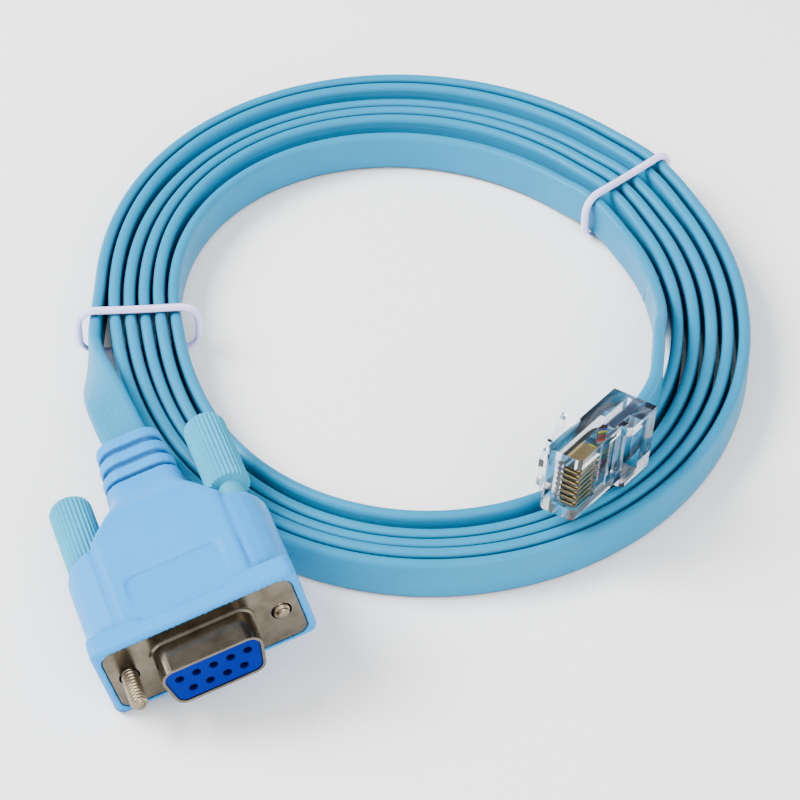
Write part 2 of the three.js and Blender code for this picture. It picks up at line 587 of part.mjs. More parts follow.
const connector = placed(HOOD_YAW, 0, HOOD_ROLL, HOOD_AT);
connector.add(mesh('hood', hoodGeometry(), BLUE_PVC, 0.5));
connector.add(mesh('shell', shellGeometry(), STEEL, 0.3, 1));
connector.add(mesh('insert', insertGeometry(), 0x0d3fb5, 0.45));
pins.forEach(({ x, y }, i) => {
  const contact = mesh(`contact_${i + 1}`, contactGeometry(), GOLD, 0.3, 1);
  contact.position.set(x, y, 0);
  connector.add(contact);
});
SCREWS.forEach((screw) => {
  const steel = mesh(`screw_rod_${screw.side}`, rodGeometry(screw), STEEL, 0.3, 1);
  const grip = mesh(`screw_grip_${screw.side}`, gripGeometry(screw), 0x7fb4c8, 0.55);
  [steel, grip].forEach((piece) => {
    piece.position.x = screw.x;
    connector.add(piece);
  });
});
connector.position.z -= new THREE.Box3().setFromObject(connector, true).min.z;
connector.updateMatrixWorld(true);

const plug = placed(PLUG_YAW, PLUG_PITCH, 0, PLUG_AT);
plug.add(mesh('plug_body', plugGeometry(), 0xe4ecf2, 0.12));
plug.add(mesh('plug_latch', latchGeometry(), 0xe4ecf2, 0.12));
const CORE_COLOURS = [0x2b1a12, 0x1c3fd0, 0xe3d21e, 0x1d8a3c, 0xb01e3c, 0x3a3a40, 0xd9441f, 0x8d8f96];
CORES.forEach((core, i) => {
  plug.add(mesh(`plug_blade_${i + 1}`, bladeGeometry(i), GOLD, 0.25, 1));
  plug.add(mesh(`core_${core}`, coreGeometry(i), CORE_COLOURS[i], 0.5));
});
plug.updateMatrixWorld(true);

// Cable: the lead, the ring and the innermost turn with its tail to the plug
const cable = new THREE.Group();
const leadEnds = [vec(0, 0, -1).transformDirection(connector.matrixWorld), null];
const leadPoints = LEAD_ROUTE.map(([x, y, z]) => vec(x, y, z));
leadPoints[0] = connector.localToWorld(vec(0, 0, CUFF_END - GAP));
cable.add(mesh('cable_lead', cableGeometry(leadPoints, LEAD_ROUTE.map((p) => p[3]), 14, leadEnds), CABLE_BLUE, 0.5));
cable.add(mesh('cable_coil', ringGeometry(), CABLE_BLUE, 0.5));

const tailTurn = RING_TURNS;
const TAIL_FROM = 179.6;
const TAIL_LEAVES = 8;
const TAIL_STEP = 9;
const tailPoints = [];
for (let angle = TAIL_FROM; angle >= TAIL_LEAVES; angle -= TAIL_STEP) {
  const r = turnRadius(tailTurn, rad(angle), (180 - angle) / 360);
  tailPoints.push(onCoil(r, rad(angle), CABLE_WIDTH / 2 + (angle < 20 ? 0.5 : FIT)));
}
const tailTurns = tailPoints.map(() => 0);
TAIL_ROUTE.forEach(([x, y, z, turn]) => {
  tailPoints.push(vec(x, y, z));
  tailTurns.push(turn);
});
tailPoints.push(plug.localToWorld(vec(PLUG_REAR_THICK / 2, 0, -GAP)));
tailTurns.push(0);
const tailEnds = [null, vec(0, 0, 1).transformDirection(plug.matrixWorld)];
cable.add(mesh('cable_tail', cableGeometry(tailPoints, tailTurns, 46, tailEnds), CABLE_BLUE, 0.5));
TIES.forEach(({ name, angle, slack }) => cable.add(mesh(name, tieGeometry(angle, slack), 0xc9c4ea, 0.6)));

const group = new THREE.Group();
group.add(connector, plug, cable);
// Origin: on the floor below the middle of the box round the connector and the plug
const ends = new THREE.Box3().setFromObject(connector, true).expandByObject(plug, true);
const middle = ends.getCenter(vec(0, 0, 0));
group.position.set(-middle.x, -middle.y, 0);
group.updateMatrixWorld(true);
export default group;
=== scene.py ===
# %% [markdown]
# A coiled console cable: a flat sky-blue cable with eight cores, wound into a hank of six turns and held
# by two lilac elastic ties. A moulded nine-way connector with two thumbscrews is on one end and a clear
# modular plug on the other. The solids come from the CAD frame. This lesson gives each of them its real
# surface, and makes the pieces whose small forms the solids leave plain: the cable, the grips, the rods.

# %% The frame
import math
import bmesh
import bpy
from mathutils import Matrix, Vector


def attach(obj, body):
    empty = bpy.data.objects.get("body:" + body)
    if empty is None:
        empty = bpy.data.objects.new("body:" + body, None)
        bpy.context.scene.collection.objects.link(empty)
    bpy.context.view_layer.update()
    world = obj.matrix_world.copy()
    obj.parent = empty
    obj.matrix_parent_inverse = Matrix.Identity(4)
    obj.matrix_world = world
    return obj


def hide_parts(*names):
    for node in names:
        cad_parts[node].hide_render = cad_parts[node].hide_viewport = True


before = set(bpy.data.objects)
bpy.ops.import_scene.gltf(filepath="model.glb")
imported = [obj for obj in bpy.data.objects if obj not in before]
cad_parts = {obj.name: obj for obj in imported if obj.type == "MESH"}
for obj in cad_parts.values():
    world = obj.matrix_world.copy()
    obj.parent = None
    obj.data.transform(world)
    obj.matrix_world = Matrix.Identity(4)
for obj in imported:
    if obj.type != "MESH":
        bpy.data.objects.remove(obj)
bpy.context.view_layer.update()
MM = 0.001

# %% [markdown]
# The photograph was taken from about 42 degrees above the table with a long lens. A long lens keeps the
# oval of the coil calm, because near and far turns are drawn at nearly the same size. The numbers come
# from fitting one camera to the standard sizes of the two connectors.

# %% Camera
ELEVATION = math.radians(42)
CAMERA_AIM = Vector((7.37, 48.17, 0)) * MM
CAMERA_DISTANCE = 498.2 * MM
SENSOR = 36
FOCAL_PIXELS = 2904.4

lens = bpy.data.cameras.new("product camera")
lens.sensor_width = SENSOR
lens.lens = FOCAL_PIXELS / 800 * SENSOR
lens.clip_end = 20
camera = bpy.data.objects.new("product camera", lens)
camera.location = CAMERA_AIM + CAMERA_DISTANCE * Vector((0, -math.cos(ELEVATION), math.sin(ELEVATION)))
camera.rotation_euler = (math.pi / 2 - ELEVATION, 0, 0)
bpy.context.collection.objects.link(camera)
bpy.context.scene.camera = camera
print("camera:", [round(v, 3) for v in camera.location], "lens", round(lens.lens, 1), "mm")

# %% [markdown]
# The connector and the plug each lie turned and tipped on the coil. Their small forms are easiest to
# describe in a frame of their own: X across, Y through the thickness, Z out of the mating end. One
# function makes that frame, and everything on a connector is built through it.

# %% Frames of the two ends
CONNECTOR_ORIGIN = Vector((-22.101, -19.346, 11.081))
PLUG_ORIGIN = Vector((41.649, 28.654, 13.75))


def lying(yaw, pitch, roll, origin):
    along = Vector((math.sin(yaw), -math.cos(yaw), 0))
    across = Vector((math.cos(yaw), math.sin(yaw), 0))
    out = along * math.cos(pitch) + Vector((0, 0, math.sin(pitch)))
    turned = Matrix((across, out.cross(across), out)).transposed()
    return Matrix.Translation(origin * MM) @ (turned @ Matrix.Rotation(roll, 3, "Z")).to_4x4()


connector_frame = lying(math.radians(18.66), 0, math.radians(14.6), CONNECTOR_ORIGIN)
plug_frame = lying(math.radians(-33.5), math.radians(9), 0, PLUG_ORIGIN)


def on_connector(x, y, z):
    return connector_frame @ (Vector((x, y, z)) * MM)


def on_plug(x, y, z):
    return plug_frame @ (Vector((x, y, z)) * MM)


print("connector's front:", [round(v, 4) for v in on_connector(0, 0, 0)])

# %% [markdown]
# Small helpers. The first turns a colour written as a designer would, in hex, into the linear numbers
# that the renderer works in. The second adds one shader node with its settings and its links. The others
# make a ramp of colours, a noise of a size in millimetres and a plain grey.

# %% Colour and node helpers
def colour(hex_code):
    parts = [int(hex_code[i:i + 2], 16) / 255 for i in (0, 2, 4)]
    return [c / 12.92 if c <= 0.04045 else ((c + 0.055) / 1.055) ** 2.4 for c in parts] + [1]


def add(tree, kind, settings=None, **sockets):
    made = tree.nodes.new("ShaderNode" + kind)
    for key, value in (settings or {}).items():
        setattr(made, key, value)
    for key, value in sockets.items():
        spot = int(key[1:]) if key[1:].isdigit() else key.replace("_", " ")
        socket = made.inputs[spot]
        if isinstance(value, bpy.types.NodeSocket):
            tree.links.new(value, socket)
        else:
            socket.default_value = value
    return made


def blended(tree, factor, stops):
    ramp = add(tree, "ValToRGB", Fac=factor)
    for i, (place, shade) in enumerate(stops):
        mark = ramp.color_ramp.elements[i] if i < 2 else ramp.color_ramp.elements.new(place)
        mark.position = place
        mark.color = shade
    return ramp.outputs["Color"]


def speckle(tree, size_mm, detail=3.0, stretch=(1, 1, 1)):
    place = add(tree, "TexCoord").outputs["Object"]
    scaled = add(tree, "Mapping", Vector=place, Scale=stretch).outputs["Vector"]
    return add(tree, "TexNoise", Vector=scaled, Scale=1 / (size_mm * MM), Detail=detail).outputs["Fac"]


def grey(value):
    return [value, value, value, 1]


print("linear sky blue:", [round(v, 3) for v in colour("86c3e6")])

# %% [markdown]
# Soft PVC is the skin of almost everything here. Real PVC isn't one flat blue: it clouds a little as it
# cools, its surface has a very fine grain from the mould, and light goes slightly into it, which softens
# the shading at the edges. Large noise makes the clouds, fine noise the grain and the uneven sheen. Narrow
# gaps get painted shade: an ambient occlusion mask darkens the colour there, on top of the lamps' shading.

# %% Moulded plastic
PAINTED_SHADE_REACH = 2
PAINTED_SHADE_TINT = (0.12, 0.16, 0.26, 1)


def moulded_plastic(name, shade, deep, rough=0.42, grain_mm=0.3, grain=0.12, soft=0.05, shine=0.14,
                    painted_shade_ramp=(0.2, 0.7)):
    material = bpy.data.materials.new(name)
    material.use_nodes = True
    tree = material.node_tree
    skin = tree.nodes["Principled BSDF"]
    clouds = speckle(tree, 9, 2)
    fine = speckle(tree, grain_mm, 4)
    open_skin = blended(tree, clouds, [(0.3, colour(deep)), (0.7, colour(shade))])
    # painted shade: ambient occlusion darkens the base colour in narrow gaps and grooves
    painted_shade_ao = add(tree, "AmbientOcclusion", {"samples": 6}, Distance=PAINTED_SHADE_REACH * MM).outputs["AO"]
    painted_shade_mask = blended(tree, painted_shade_ao, [(painted_shade_ramp[0], grey(0)), (painted_shade_ramp[1], grey(1))])
    painted_shade_colour = [c * s for c, s in zip(colour(deep), PAINTED_SHADE_TINT)]
    painted_shade_mix = add(tree, "Mix", {"data_type": "RGBA"}, i0=painted_shade_mask, i6=painted_shade_colour, i7=open_skin)
    tree.links.new(painted_shade_mix.outputs[2], skin.inputs["Base Color"])
    sheen_map = blended(tree, speckle(tree, 3, 4), [(0.3, grey(rough - 0.06)), (0.75, grey(rough + 0.08))])
    tree.links.new(sheen_map, skin.inputs["Roughness"])
    bump = add(tree, "Bump", Height=fine, Strength=grain, Distance=0.05 * MM)
    tree.links.new(bump.outputs["Normal"], skin.inputs["Normal"])
    skin.inputs["IOR"].default_value = 1.5
    skin.inputs["Specular IOR Level"].default_value = shine
    skin.inputs["Subsurface Weight"].default_value = soft
    skin.inputs["Subsurface Radius"].default_value = (0.6, 0.9, 1.0)
    skin.inputs["Subsurface Scale"].default_value = 0.8 * MM
    return material


# the hood's ramp paints stronger shade into its grooves and label frame
hood_pvc = moulded_plastic("sky blue moulded PVC", "0488cf", "0484cb", painted_shade_ramp=(0.55, 0.97))
grip_pvc = moulded_plastic("sky blue grip plastic", "2299b8", "2090b2", rough=0.46)
insert_plastic = moulded_plastic("royal blue insulator", "021c7a", "021970", rough=0.5, soft=0, shine=0.02)
print("plastics:", hood_pvc.name, grip_pvc.name, insert_plastic.name)

# %% [markdown]
# The cable's jacket is extruded, not moulded, so its grain runs along it. Under the thin jacket lie eight
# cores side by side, and they show as very faint long ribs when light skims the flat face. The cable mesh
# carries the distance across its width on every point, so a sine wave of it can place the ribs.

# %% Cable jacket
CORE_PITCH_ACROSS = 0.92


def cable_jacket_material():
    material = moulded_plastic("sky blue cable jacket", "0f7da5", "0e79a1", rough=0.4, grain=0.08)
    tree = material.node_tree
    skin = tree.nodes["Principled BSDF"]
    across = add(tree, "Attribute", {"attribute_name": "across_mm"}).outputs["Fac"]
    waves = add(tree, "Math", {"operation": "MULTIPLY"}, i0=across, i1=2 * math.pi / CORE_PITCH_ACROSS)
    ribs = add(tree, "Math", {"operation": "COSINE"}, i0=waves.outputs[0])
    fine = skin.inputs["Normal"].links[0].from_socket
    ribbed = add(tree, "Bump", Height=ribs.outputs[0], Strength=0.16, Distance=0.05 * MM, Normal=fine)
    tree.links.new(ribbed.outputs["Normal"], skin.inputs["Normal"])
    return material


cable_jacket = cable_jacket_material()
print("jacket nodes:", len(cable_jacket.node_tree.nodes))

# %% [markdown]
# The flange and the D shell are pressed from sheet steel and plated. Plating is smooth but never even:
# it has faint rolling marks, small dull patches and a slightly warm tone. The gold on the contacts and
# blades is the same idea with a brighter, finer surface.

# %% Metals
def plated_metal(name, shade, dull, rough, streak=(1, 6, 1)):
    material = bpy.data.materials.new(name)
    material.use_nodes = True
    tree = material.node_tree
    skin = tree.nodes["Principled BSDF"]
    skin.inputs["Metallic"].default_value = 1
    patches = speckle(tree, 2.4, 5)
    marks = speckle(tree, 0.35, 6, streak)
    plating = blended(tree, patches, [(0.3, colour(dull)), (0.65, colour(shade))])
    tree.links.new(plating, skin.inputs["Base Color"])
    sheen_map = blended(tree, marks, [(0.3, grey(rough - 0.04)), (0.75, grey(rough + 0.06))])
    tree.links.new(sheen_map, skin.inputs["Roughness"])
    bump = add(tree, "Bump", Height=marks, Strength=0.05, Distance=0.03 * MM)
    tree.links.new(bump.outputs["Normal"], skin.inputs["Normal"])
    return material


plated_steel = plated_metal("plated pressed steel", "696256", "544c41", 0.22)
screw_steel = plated_metal("plated screw steel", "8f826e", "6b5f4e", 0.3, (1, 1, 1))
gold = plated_metal("gold plating", "f4d894", "dcbc74", 0.22, (1, 1, 1))
print("metals:", plated_steel.name, screw_steel.name, gold.name)

# %% [markdown]
# The plug is clear polycarbonate, which bends light more than glass of the window kind: its index is
# about 1.58. Tiny flow lines from the mould and a trace of surface haze keep it from looking like crystal.
# The ties are smooth elastic, and light passes a little way into them.

# %% Clear plastic and elastic
def clear_polycarbonate():
    material = bpy.data.materials.new("clear polycarbonate")
    material.use_nodes = True
    tree = material.node_tree
    skin = tree.nodes["Principled BSDF"]
    skin.inputs["Transmission Weight"].default_value = 1
    skin.inputs["IOR"].default_value = 1.58
    flow = speckle(tree, 2.2, 3)
    haze = blended(tree, speckle(tree, 0.8, 4), [(0.35, grey(0.02)), (0.8, grey(0.1))])
    tint = blended(tree, flow, [(0.2, colour("f4f8fb")), (0.8, colour("fdfeff"))])
    tree.links.new(tint, skin.inputs["Base Color"])
    tree.links.new(haze, skin.inputs["Roughness"])
    bump = add(tree, "Bump", Height=flow, Strength=0.1, Distance=0.05 * MM)
    tree.links.new(bump.outputs["Normal"], skin.inputs["Normal"])
    return material


clear_plastic = clear_polycarbonate()
tie_elastic = moulded_plastic("lilac elastic", "d8d0fa", "cfc6f4", rough=0.4, grain_mm=0.15, soft=0.3)
print("clear plastic and elastic ready")

# %% [markdown]
# The flat cable is one long sweep of its section: 7.6 mm wide, 2.1 mm thick, with rounded long edges.
# It could be a curve with a bevel, but a curve twists as it likes. Sweeping it by hand lets each ring of
# points carry its own tilt, so the cable can lie flat where it leaves the hood and stand on edge in the
# coil.

# %% Sweep helper
def rounded_section(half_a, half_b, r, per_corner, per_side=1):
    points = []
    for corner in range(4):
        a = (half_a - r) * (1 if corner in (0, 3) else -1)
        b = (half_b - r) * (1 if corner < 2 else -1)
        for i in range(per_corner):
            turn = (corner + i / (per_corner - 1)) * math.pi / 2
            points.append((a + r * math.cos(turn), b + r * math.sin(turn)))
        if per_side > 1:
            near = (corner + 1) * math.pi / 2
            far_a = (half_a - r) * (1 if (corner + 1) % 4 in (0, 3) else -1) + r * math.cos(near)
            far_b = (half_b - r) * (1 if (corner + 1) % 4 < 2 else -1) + r * math.sin(near)
            start = points[-1]
            for k in range(1, per_side):
                t = k / per_side
                points.append((start[0] + (far_a - start[0]) * t, start[1] + (far_b - start[1]) * t))
    return points


def smooth(mesh):
    mesh.polygons.foreach_set("use_smooth", [True] * len(mesh.polygons))


def swept(name, line, wide_ways, section, thinning=None, closed=False):
    bm = bmesh.new()
    width_mark = bm.verts.layers.float.new("across_mm")
    rings = []
    last = len(line) - 1
    for i, (point, wide) in enumerate(zip(line, wide_ways)):
        ahead = line[(i + 1) % len(line)] if closed else line[min(i + 1, last)]
        behind = line[i - 1] if closed else line[max(i - 1, 0)]
        way = (ahead - behind).normalized()
        thin = way.cross(wide).normalized()
        flat = thin.cross(way)
        ring = []
        for a, b in section:
            squeezed = b * thinning[i] if thinning else b
            vert = bm.verts.new(point + (flat * a + thin * squeezed) * MM)
            vert[width_mark] = a
            ring.append(vert)
        rings.append(ring)
    for near, far in zip(rings, rings[1:] + rings[:1] if closed else rings[1:]):
        for k in range(len(section)):
            following = (k + 1) % len(section)
            bm.faces.new((near[k], near[following], far[following], far[k]))
    if not closed:
        bm.faces.new(list(reversed(rings[0])))
        bm.faces.new(rings[-1])
    bmesh.ops.recalc_face_normals(bm, faces=bm.faces)
    mesh = bpy.data.meshes.new(name)
    bm.to_mesh(mesh)
    bm.free()
    smooth(mesh)
    made = bpy.data.objects.new(name, mesh)
    bpy.context.collection.objects.link(made)
    return made


def eased(points, steps):
    """Points along a smooth line through the given ones."""
    padded = [points[0] * 2 - points[1]] + list(points) + [points[-1] * 2 - points[-2]]
    line = []
    for a, b, c, d in zip(padded, padded[1:], padded[2:], padded[3:]):
        for k in range(steps):
            t = k / steps
            line.append(0.5 * (2 * b + (c - a) * t + (2 * a - 5 * b + 4 * c - d) * t ** 2
                               + (3 * b - a - 3 * c + d) * t ** 3))
    return line + [points[-1].copy()]


# %% [markdown]
# Where the coil runs was read from the photograph. The outermost turn is a circle with a slow wave on it,
# and every next turn lies a little further in, with more room between the turns at the far side. A loop
# works the turns out, degree by degree. Where a tie passes underneath, the turns ride up over it.

# %% Route of the coil
COIL_AT = Vector((12.199, 64.854, 0))
COIL_RADIUS = 61.62
COIL_WAVES = [(-1.17, 1.49), (-4.88, -1.68), (0.77, 0.24)]
TURN_PITCH = 2.75
PITCH_SKEW = 0.15
FAR_SPREAD = [0, 2.25, 0, -0.45, 3.0]
NEAR_SPREAD = [-0.5, -0.6, -0.4, 1.2, 0]
CABLE_WIDTH = 7.6
CABLE_THICK = 2.1
TIE_ANGLES = [184, 43]
TIE_LIFT = 0.8
TIE_REACH = 14
WOUND_DEGREES = 5 * 360 + 172
WANDER = 0.16
WANDER_RATE = 1.37
WANDER_EASE = 40
LEAVING_RISE = 0.3
LEAVING_REACH = 20


def turn_radius(turn, theta, share):
    r = COIL_RADIUS
    for i, (c, s) in enumerate(COIL_WAVES):
        r += c * math.cos((i + 1) * theta) + s * math.sin((i + 1) * theta)
    r -= (TURN_PITCH + PITCH_SKEW * math.cos(theta)) * (turn + share)
    far = max(0, math.sin(theta)) ** 2
    near = max(0, -math.sin(theta)) ** 2
    return r - sum(FAR_SPREAD[i] * far + NEAR_SPREAD[i] * near for i in range(turn))


def over_ties(degrees):
    lift = 0
    for angle in TIE_ANGLES:
        off = abs((degrees - angle + 180) % 360 - 180)
        if off < TIE_REACH:
            lift += TIE_LIFT / 2 * (1 + math.cos(math.pi * off / TIE_REACH))
    return lift


def coil_point(wound):
    turn = int(wound // 360)
    theta = math.radians(180 - wound)
    r = turn_radius(turn, theta, wound % 360 / 360)
    calm_ends = min(1, wound / WANDER_EASE, (WOUND_DEGREES - wound) / WANDER_EASE)
    wander = WANDER * (1 - math.cos(math.radians(wound) * WANDER_RATE)) * calm_ends
    leaving = LEAVING_RISE * max(0, 1 - (WOUND_DEGREES - wound) / LEAVING_REACH)
    height = CABLE_WIDTH / 2 + over_ties(180 - wound) + wander + leaving
    return (COIL_AT + Vector((r * math.cos(theta), r * math.sin(theta), height))) * MM


coil_line = [coil_point(wound) for wound in range(6, WOUND_DEGREES, 2)]
print("coil points:", len(coil_line))

# %% [markdown]
# The two ends of the cable are placed through listed points. One comes out of the hood's strain relief,
# lying almost flat, and turns onto its edge as it joins the outermost turn. The other leaves the innermost
# turn, climbs over the coil and enters the plug from behind, between its clear walls.

# %% The whole cable
LEAD_POINTS = [
    (-51.6, -34.0, 10.9, 72), (-53.8, -27.6, 10.0, 60), (-55.6, -21.4, 8.2, 40),
    (-56.8, -15.4, 6.1, 18), (-57.4, -9.6, 4.9, 2), (-57.5, -4.8, 4.65, 0),
]
TAIL_POINTS = [
    (40.2, 0, 5.6, 0), (39.9, -7.5, 8.4, 0), (38.9, -15, 11.3, 0),
    (38.3, -21.5, 12.4, 0), (36.9, -29.5, 12.9, 0),
]
PLUG_CABLE_X = 4
JACKET_IN_PLUG = 8.3


def by_hand(points):
    return [(COIL_AT + Vector(p[:3])) * MM for p in points]


lead_control = [on_connector(0, 0, -44.8), on_connector(0, 0, -46.9)] + by_hand(LEAD_POINTS) + coil_line[:2]
lead_turns = [75.4, 75.4] + [p[3] for p in LEAD_POINTS] + [0, 0]
tail_control = coil_line[-2:] + by_hand(TAIL_POINTS)
tail_control += [on_plug(PLUG_CABLE_X, 0, z) for z in (-0.3, 4, JACKET_IN_PLUG)]
EASE = 8
cable_line = eased(lead_control, EASE)[:-EASE] + coil_line[1:-2] + eased(tail_control, EASE)
cable_turns = []
for a, b in zip(lead_turns[:-2], lead_turns[1:-1]):
    cable_turns += [a + (b - a) * k / EASE for k in range(EASE)]
cable_turns += [0] * (len(cable_line) - len(cable_turns))
wide_ways = []
for i, turn in enumerate(cable_turns):
    way = (cable_line[min(i + 1, len(cable_line) - 1)] - cable_line[max(i - 1, 0)]).normalized()
    level = Vector((way.y, -way.x, 0)).normalized()
    upright = level.cross(way)
    wide_ways.append(upright * math.cos(math.radians(turn)) + level * math.sin(math.radians(turn)))
cable_length = sum((b - a).length for a, b in zip(cable_line, cable_line[1:]))
cable = swept("flat_cable", cable_line, wide_ways,
              rounded_section(CABLE_WIDTH / 2, CABLE_THICK / 2, 0.98, 5, 4))
cable.data.materials.append(cable_jacket)
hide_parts("cable_coil", "cable_lead", "cable_tail")
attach(cable, "cable")
print("cable:", round(cable_length, 3), "m,", len(cable.data.polygons), "faces")

# %% [markdown]
# The elastic ties are closed loops round all six turns. A tie is round where it runs free over the top
# and pressed thin where the coil lies on it. Its line is a rounded rectangle that stands upright across
# the coil, and the sweep squeezes the section wherever the line is low.

# %% Ties
TIE_THICK = 1.4
TIE_UNDER = 0.5
TIE_GAP = 0.3
TIE_CORNER = 3.2
TIE_SLACK = {"tie_left": 1.9, "tie_right": 0.5}
TIE_POINTS_PER_SIDE = 8
TIE_SAG = 0.21
for (name, slack), angle in zip(TIE_SLACK.items(), TIE_ANGLES):
    theta = math.radians(angle)
    share = (180 - angle) / 360
    outside = turn_radius(0, theta, share) + CABLE_THICK / 2 + slack
    inside = turn_radius(5, theta, share) - CABLE_THICK / 2 - slack
    half_across = (outside - inside) / 2 + TIE_THICK / 2 + TIE_GAP
    top = CABLE_WIDTH + TIE_LIFT + TIE_GAP + TIE_THICK / 2
    bottom = TIE_UNDER / 2
    out = Vector((math.cos(theta), math.sin(theta), 0))
    along = Vector((-math.sin(theta), math.cos(theta), 0))
    middle = COIL_AT + out * ((outside + inside) / 2) + Vector((0, 0, (top + bottom) / 2))
    loop = rounded_section(half_across, (top - bottom) / 2, TIE_CORNER, 9, TIE_POINTS_PER_SIDE)
    sag = [TIE_SAG * math.cos(math.pi * min(1, abs(a) / half_across) / 2) if b > 0 else 0 for a, b in loop]
    line = [(middle + out * a + Vector((0, 0, b - d))) * MM for (a, b), d in zip(loop, sag)]
    squeeze = []
    for point in line:
        low = min(1, max(0, (CABLE_WIDTH / 2 - point.z / MM) / (CABLE_WIDTH / 2 - bottom)))
        squeeze.append(1 + (TIE_UNDER / TIE_THICK - 1) * (low * low * (3 - 2 * low)))
    half = TIE_THICK / 2 - 0.02
    round_section = rounded_section(half, half, half, 5)
    tie = swept(f"elastic_{name}", line, [along] * len(line), round_section, squeeze, True)
    for vert in tie.data.vertices:
        vert.co.z = max(vert.co.z, 0)
    tie.data.materials.append(tie_elastic)
    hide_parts(name)
    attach(tie, "cable")

# %% [markdown]
# The hood is moulded over the connector in soft PVC, so none of its edges is sharp. Beveling a shape cut
# by booleans is fragile. A voxel remesh followed by a light smoothing rounds every edge by the same small
# radius instead, as a real mould does, and keeps the label frame and the grooves.

# %% Hood
def dress(node_name, material):
    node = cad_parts[node_name]
    node.data.materials.clear()
    node.data.materials.append(material)
    return node


hood = dress("hood", hood_pvc)
voxels = hood.modifiers.new("even skin", "REMESH")
voxels.mode = "VOXEL"
voxels.voxel_size = 0.27 * MM
voxels.use_smooth_shade = True
relax = hood.modifiers.new("mould radius", "SMOOTH")
relax.factor = 0.5
relax.iterations = 1
print("hood remeshed at", round(voxels.voxel_size * 1000, 2), "mm")

# %% [markdown]
# Pressed steel and hard mouldings keep crisp edges with a tiny radius that catches the light. For these a
# bevel of a tenth of a millimetre on the sharp edges is right, with the faces around shaded smooth.

# %% Crisp pieces
def crisp(node, width_mm, segments=2):
    bevel = node.modifiers.new("edge", "BEVEL")
    bevel.width = width_mm * MM
    bevel.segments = segments
    bevel.limit_method = "ANGLE"
    bevel.angle_limit = math.radians(38)
    bevel.harden_normals = False
    smooth(node.data)
    keep_flat = node.modifiers.new("flat faces", "WEIGHTED_NORMAL")
    keep_flat.keep_sharp = True
    return node


crisp(dress("shell", plated_steel), 0.14)
crisp(dress("insert", insert_plastic), 0.08)
for i in range(1, 10):
    crisp(dress(f"contact_{i}", gold), 0.03)
crisp(dress("plug_body", clear_plastic), 0.14)
crisp(dress("plug_latch", clear_plastic), 0.12)
for i in range(1, 9):
    crisp(dress(f"plug_blade_{i}", gold), 0.05)
print("crisp pieces done")

# %% [markdown]
# Each thumbscrew has a long fluted grip. The flutes are thirty shallow round grooves, moulded in, and the
# back edge is well rounded. The section is worked out point by point as a cosine wave on a circle, and
# the rings shrink along a quarter circle to close the back.

# %% Grips
SCREWS = {"left": (-12.5, 0), "right": (12.5, 5.5)}
BOSS_END = -22.5
GRIP_GAP = 0.3
GRIP_LENGTH = 15.5
GRIP_RADIUS = 3.55
GRIP_ROUND = 1.1
FLUTES = 30
FLUTE_DEPTH = 0.28
FLUTE_POINTS = 8
NECK_RADIUS = 2.05
NECK_REACH = 7


def turned(name, x, rings, sides, frame_point):
    """A solid of rings, each (z, function of the angle that gives the radius), along the connector's Z."""
    bm = bmesh.new()
    loops = []
    for z, radius in rings:
        angles = [2 * math.pi * k / sides for k in range(sides)]
        corners = [(x + radius(t) * math.cos(t), radius(t) * math.sin(t)) for t in angles]
        loops.append([bm.verts.new(frame_point(a, b, z)) for a, b in corners])
    for near, far in zip(loops, loops[1:]):
        for k in range(sides):
            bm.faces.new((near[k], near[(k + 1) % sides], far[(k + 1) % sides], far[k]))
    bm.faces.new(list(reversed(loops[0])))
    bm.faces.new(loops[-1])
    bmesh.ops.recalc_face_normals(bm, faces=bm.faces)
    mesh = bpy.data.meshes.new(name)
    bm.to_mesh(mesh)
    bm.free()
    smooth(mesh)
    made = bpy.data.objects.new(name, mesh)
    bpy.context.collection.objects.link(made)
    return made


def fluted(base, depth):
    return lambda t: base - depth * (0.5 - 0.5 * math.cos(FLUTES * t)) ** 0.8


def plain(r):
    return lambda t: r


for side, (x, drawn) in SCREWS.items():
    front = BOSS_END - GRIP_GAP - drawn
    back = front - GRIP_LENGTH
    rings = []
    for k in range(7):
        turn = k / 6 * math.pi / 2
        shrink = GRIP_ROUND * (1 - math.sin(turn))
        z = back + GRIP_ROUND * (1 - math.cos(turn))
        rings.append((z, fluted(GRIP_RADIUS - shrink, FLUTE_DEPTH * k / 6)))
    for k in range(1, 9):
        z = back + GRIP_ROUND + (GRIP_LENGTH - GRIP_ROUND - 0.35) * k / 8
        rings.append((z, fluted(GRIP_RADIUS, FLUTE_DEPTH)))
    rings.append((front - 0.12, fluted(GRIP_RADIUS - 0.1, FLUTE_DEPTH)))
    rings.append((front, fluted(GRIP_RADIUS - 0.3, FLUTE_DEPTH * 0.5)))
    rings.append((front, plain(NECK_RADIUS + 0.1)))
    rings.append((front + 0.15, plain(NECK_RADIUS)))
    rings.append((front + NECK_REACH - 0.2, plain(NECK_RADIUS)))
    rings.append((front + NECK_REACH, plain(NECK_RADIUS - 0.2)))
    grip = turned(f"thumbscrew_grip_{side}", x, rings, FLUTES * FLUTE_POINTS, on_connector)
    grip.data.materials.append(grip_pvc)
    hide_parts(f"screw_grip_{side}")
    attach(grip, f"screw_grip_{side}")
    print(grip.name, len(grip.data.polygons), "faces")

# %% [markdown]
# The rod of each thumbscrew is a 4-40 screw, with forty threads to the inch. A thread is a groove that
# climbs as it goes round, so the radius depends on the height less a part of the turn. That one rule
# gives the whole thread.

# %% Screw rods
ROD_RADIUS = 1.42
ROD_OUT = 6.2
THREAD_PITCH = 25.4 / 40
THREAD_DEPTH = 0.3
THREAD_LENGTH = 8
ROD_BACK = 3
THREAD_STEPS = 8


def threaded(z, tip):
    taper = min(1, max(0, (tip - z) / 0.5))

    def radius(t):
        climb = (z / THREAD_PITCH - t / (2 * math.pi)) % 1
        groove = abs(climb - 0.5) * 2
        return ROD_RADIUS - THREAD_DEPTH * (1 - groove) - 0.35 * (1 - taper)

    return radius


